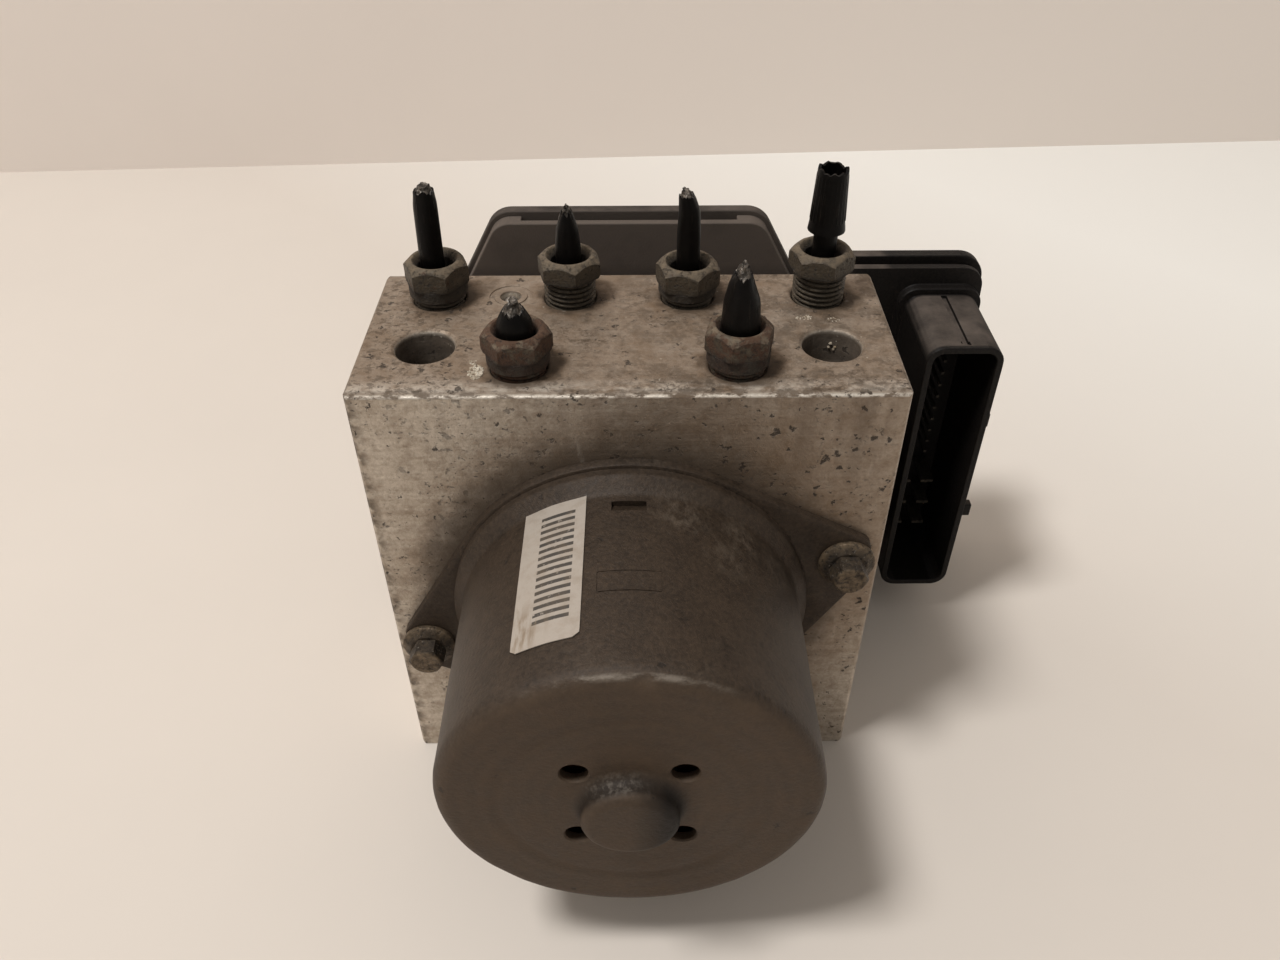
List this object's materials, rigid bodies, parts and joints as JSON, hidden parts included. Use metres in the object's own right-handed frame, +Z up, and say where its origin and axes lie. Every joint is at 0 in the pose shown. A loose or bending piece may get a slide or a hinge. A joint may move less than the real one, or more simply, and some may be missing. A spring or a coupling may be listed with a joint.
{
  "type": "abs brake module",
  "caption": "Anti-lock brake unit: metal valve block with a round pump motor in front, cut pipe stubs in flare nuts on top and a flat control unit with a plug socket behind.",
  "frame": {"origin": "centre of the valve block's bottom face, on which the unit stands", "axes": "+Z up out of the pipe ports, +Y from the motor's free end towards the control unit, +X towards the plug socket"},
  "size_m": [0.1309, 0.1252, 0.1245],
  "materials": {
    "block_alloy": "milled, dull and stained",
    "nut_steel_plain": "dull zinc plate",
    "nut_steel_stained": "dull zinc plate with rust",
    "pipe_coating": "black polymer coat on steel pipe",
    "can_steel": "dark grey-brown coat, scuffed",
    "bolt_steel": "dull plated",
    "label_film": "white film with plain bars",
    "unit_plastic": "glass-filled black moulding",
    "circuit_laminate": "green lacquered laminate",
    "tinned_brass": "tin plated",
    "seal_rubber": "matt",
    "bearing_steel": "ground",
    "plain_steel": "turned",
    "piston_alloy": "hard anodised",
    "spring_steel": "drawn wire",
    "bush_bronze": "sintered, oiled",
    "copper": "lacquered wire and segments",
    "core_steel": "stacked laminations",
    "coil_winding": "plated yoke round the winding",
    "ferrite": "matt sintered ferrite",
    "carbon": "copper graphite"
  },
  "bodies": {
    "unit": {"accumulator_cap_left": "plain_steel", "accumulator_cap_right": "plain_steel", "accumulator_spring_left": "spring_steel", "accumulator_spring_right": "spring_steel", "bearing_plate": "plain_steel", "brush_boxes": "tinned_brass", "brush_plate": "unit_plastic", "brush_spring_left": "spring_steel", "brush_spring_right": "spring_steel", "circuit_board": "circuit_laminate", "connector_pins": "tinned_brass", "ecu_housing": "unit_plastic", "ecu_lid": "unit_plastic", "ecu_screws": "bolt_steel", "front_bearing_balls": "bearing_steel", "front_bearing_outer": "bearing_steel", "gallery_balls": "bearing_steel", "housing_seal": "seal_rubber", "inlet_valves": "plain_steel", "magnet_lower": "ferrite", "magnet_upper": "ferrite", "motor_bolts": "bolt_steel", "motor_can": "can_steel", "motor_gasket": "seal_rubber", "motor_label": "label_film", "motor_pins": "tinned_brass", "outlet_valves": "plain_steel", "pipe_front_left": "pipe_coating", "pipe_front_right": "pipe_coating", "pipe_nuts_collared": "nut_steel_stained", "pipe_nuts_plain": "nut_steel_plain", "pipe_rear_left": "pipe_coating", "pipe_rear_mid_left": "pipe_coating", "pipe_rear_mid_right": "pipe_coating", "pipe_rear_right": "pipe_coating", "pump_plug_left": "plain_steel", "pump_plug_right": "plain_steel", "pump_sleeve_left": "bearing_steel", "pump_sleeve_right": "bearing_steel", "pump_spring_left": "spring_steel", "pump_spring_right": "spring_steel", "rear_bush": "bush_bronze", "solenoid_coils": "coil_winding", "terminal_sleeve": "unit_plastic", "valve_block": "block_alloy"},
    "rotor": {"rotor_shaft": "bearing_steel", "armature_core": "core_steel", "armature_windings": "copper", "commutator": "copper", "front_bearing_inner": "bearing_steel"},
    "eccentric_ring": {"eccentric_cup": "bearing_steel", "eccentric_needles": "bearing_steel"},
    "pump_piston_l": {"pump_piston_left": "bearing_steel"},
    "pump_piston_r": {"pump_piston_right": "bearing_steel"},
    "accumulator_l": {"accumulator_piston_left": "piston_alloy", "accumulator_seal_left": "seal_rubber"},
    "accumulator_r": {"accumulator_piston_right": "piston_alloy", "accumulator_seal_right": "seal_rubber"},
    "brush_l": {"brush_left": "carbon"},
    "brush_r": {"brush_right": "carbon"}
  },
  "joints": [
    {"name": "shaft_spin", "type": "hinge", "parent": "unit", "child": "rotor", "pos_m": [0, -0.04, 0.049], "axis": [0, 1, 0], "continuous": true},
    {"name": "eccentric_ring_turn", "type": "hinge", "parent": "rotor", "child": "eccentric_ring", "pos_m": [0, -0.007, 0.05], "axis": [0, 1, 0], "continuous": true},
    {"name": "pump_piston_left_stroke", "type": "slide", "parent": "unit", "child": "pump_piston_l", "axis": [1, 0, 0], "range_m": [0, 0.001], "deforming": ["pump_spring_left"]},
    {"name": "accumulator_left_travel", "type": "slide", "parent": "unit", "child": "accumulator_l", "axis": [0, 0, -1], "range_m": [0, 0.006], "stiffness_N_per_m": 1500, "springref_m": -0.004, "deforming": ["accumulator_spring_left"]},
    {"name": "brush_left_travel", "type": "slide", "parent": "unit", "child": "brush_l", "axis": [-1, 0, 0], "range_m": [0, 0.0025], "stiffness_N_per_m": 200, "springref_m": -0.008, "deforming": ["brush_spring_left"]},
    {"name": "pump_piston_right_stroke", "type": "slide", "parent": "unit", "child": "pump_piston_r", "axis": [-1, 0, 0], "range_m": [0, 0.001], "deforming": ["pump_spring_right"]},
    {"name": "accumulator_right_travel", "type": "slide", "parent": "unit", "child": "accumulator_r", "axis": [0, 0, -1], "range_m": [0, 0.006], "stiffness_N_per_m": 1500, "springref_m": -0.004, "deforming": ["accumulator_spring_right"]},
    {"name": "brush_right_travel", "type": "slide", "parent": "unit", "child": "brush_r", "axis": [1, 0, 0], "range_m": [0, 0.0025], "stiffness_N_per_m": 200, "springref_m": -0.008, "deforming": ["brush_spring_right"]}
  ],
  "couplings": [
    {"joint": "eccentric_ring_turn", "follows": "shaft_spin", "ratio": -1}
  ]
}
